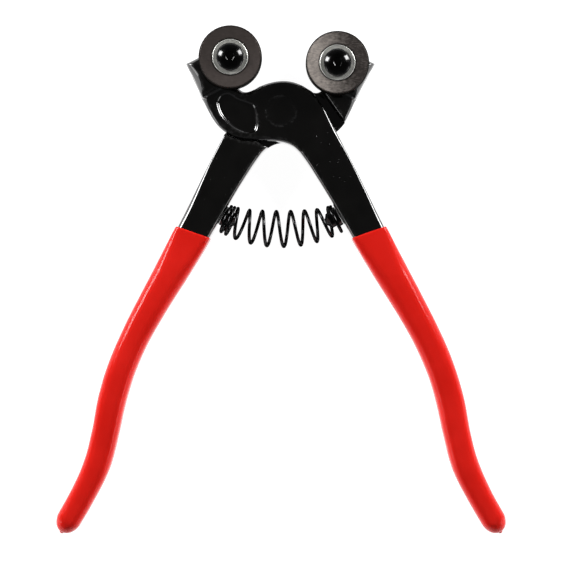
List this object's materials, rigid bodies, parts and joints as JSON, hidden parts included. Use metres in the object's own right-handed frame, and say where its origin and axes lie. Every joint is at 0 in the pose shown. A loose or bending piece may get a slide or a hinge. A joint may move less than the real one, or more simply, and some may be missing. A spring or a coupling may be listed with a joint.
{
  "type": "wheeled mosaic glass nippers",
  "caption": "Hand nippers for glass mosaic: lap-jointed levers, round carbide cutting wheels held by button-head screws, a compression return spring and dipped grips.",
  "frame": {"origin": "on the pivot axis, at the flat back head of the pivot rivet, which lies on the table", "axes": "+Z along the pivot axis from the back of the tool to its front, where the wheels are, +Y from the pivot between the open jaws, -Y between the handles"},
  "size_m": [0.1598, 0.1782, 0.0213],
  "materials": {
    "black_enamel": "gloss black enamel on forged steel",
    "black_oxide": "oiled black oxide",
    "spring_wire": "black spring wire",
    "red_grip": "glossy dipped vinyl",
    "carbide": "ground tungsten carbide",
    "zinc_plate": "turned and zinc plated"
  },
  "bodies": {
    "front_half": {"front_lever": "black_enamel", "right_grip": "red_grip", "pivot_rivet": "black_enamel", "return_spring": "spring_wire", "right_spring_post": "black_oxide", "left_hub": "zinc_plate", "left_screw": "black_oxide"},
    "back_half": {"back_lever": "black_enamel", "left_grip": "red_grip", "left_spring_post": "black_oxide", "right_hub": "zinc_plate", "right_screw": "black_oxide"},
    "left_cutter": {"left_wheel": "carbide"},
    "right_cutter": {"right_wheel": "carbide"}
  },
  "joints": [
    {"name": "jaw_pivot", "type": "hinge", "parent": "front_half", "child": "back_half", "pos_m": [0, 0, 0.0066], "axis": [0, 0, 1], "range_deg": [0, 40.5], "stiffness_Nm_per_rad": 0.8, "springref_deg": -14.32, "deforming": ["return_spring"]},
    {"name": "left_wheel_turn", "type": "hinge", "parent": "front_half", "child": "left_cutter", "pos_m": [-0.0176, 0.01815, 0.0159], "axis": [0, 0, 1], "continuous": true},
    {"name": "right_wheel_turn", "type": "hinge", "parent": "back_half", "child": "right_cutter", "pos_m": [0.0196, 0.0162, 0.0159], "axis": [0, 0, 1], "continuous": true}
  ]
}
